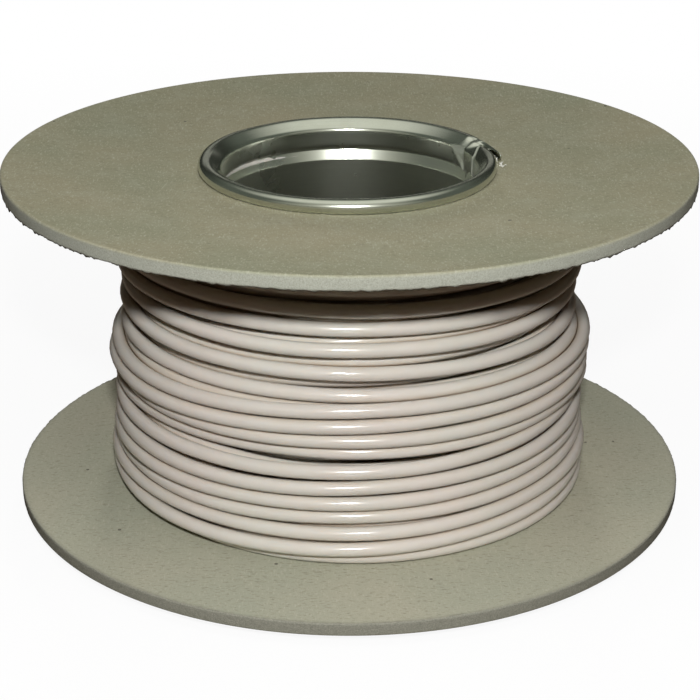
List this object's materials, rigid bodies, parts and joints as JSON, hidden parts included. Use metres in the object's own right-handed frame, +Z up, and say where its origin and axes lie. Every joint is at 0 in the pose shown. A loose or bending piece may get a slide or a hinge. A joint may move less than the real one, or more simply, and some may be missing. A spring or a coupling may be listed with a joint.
{
  "type": "reel of single-core cable",
  "caption": "Card-flanged reel of PVC-insulated single-core cable, wound on a tinplate tube whose curled rims hold the flanges.",
  "frame": {"origin": "on the reel's axis at floor level, under the crest of the lower curled rim", "axes": "+Z up the reel's axis, +X to the right and +Y to the back as the picture sees it"},
  "size_m": [0.16, 0.16, 0.083],
  "materials": {
    "greyboard": "matte, fibrous",
    "tinplate": "bright rolled tin",
    "pvc_insulation": "smooth, glossy"
  },
  "bodies": {
    "root": {"top_flange": "greyboard", "bottom_flange": "greyboard", "core_tube": "tinplate", "cable_winding": "pvc_insulation"}
  },
  "joints": []
}
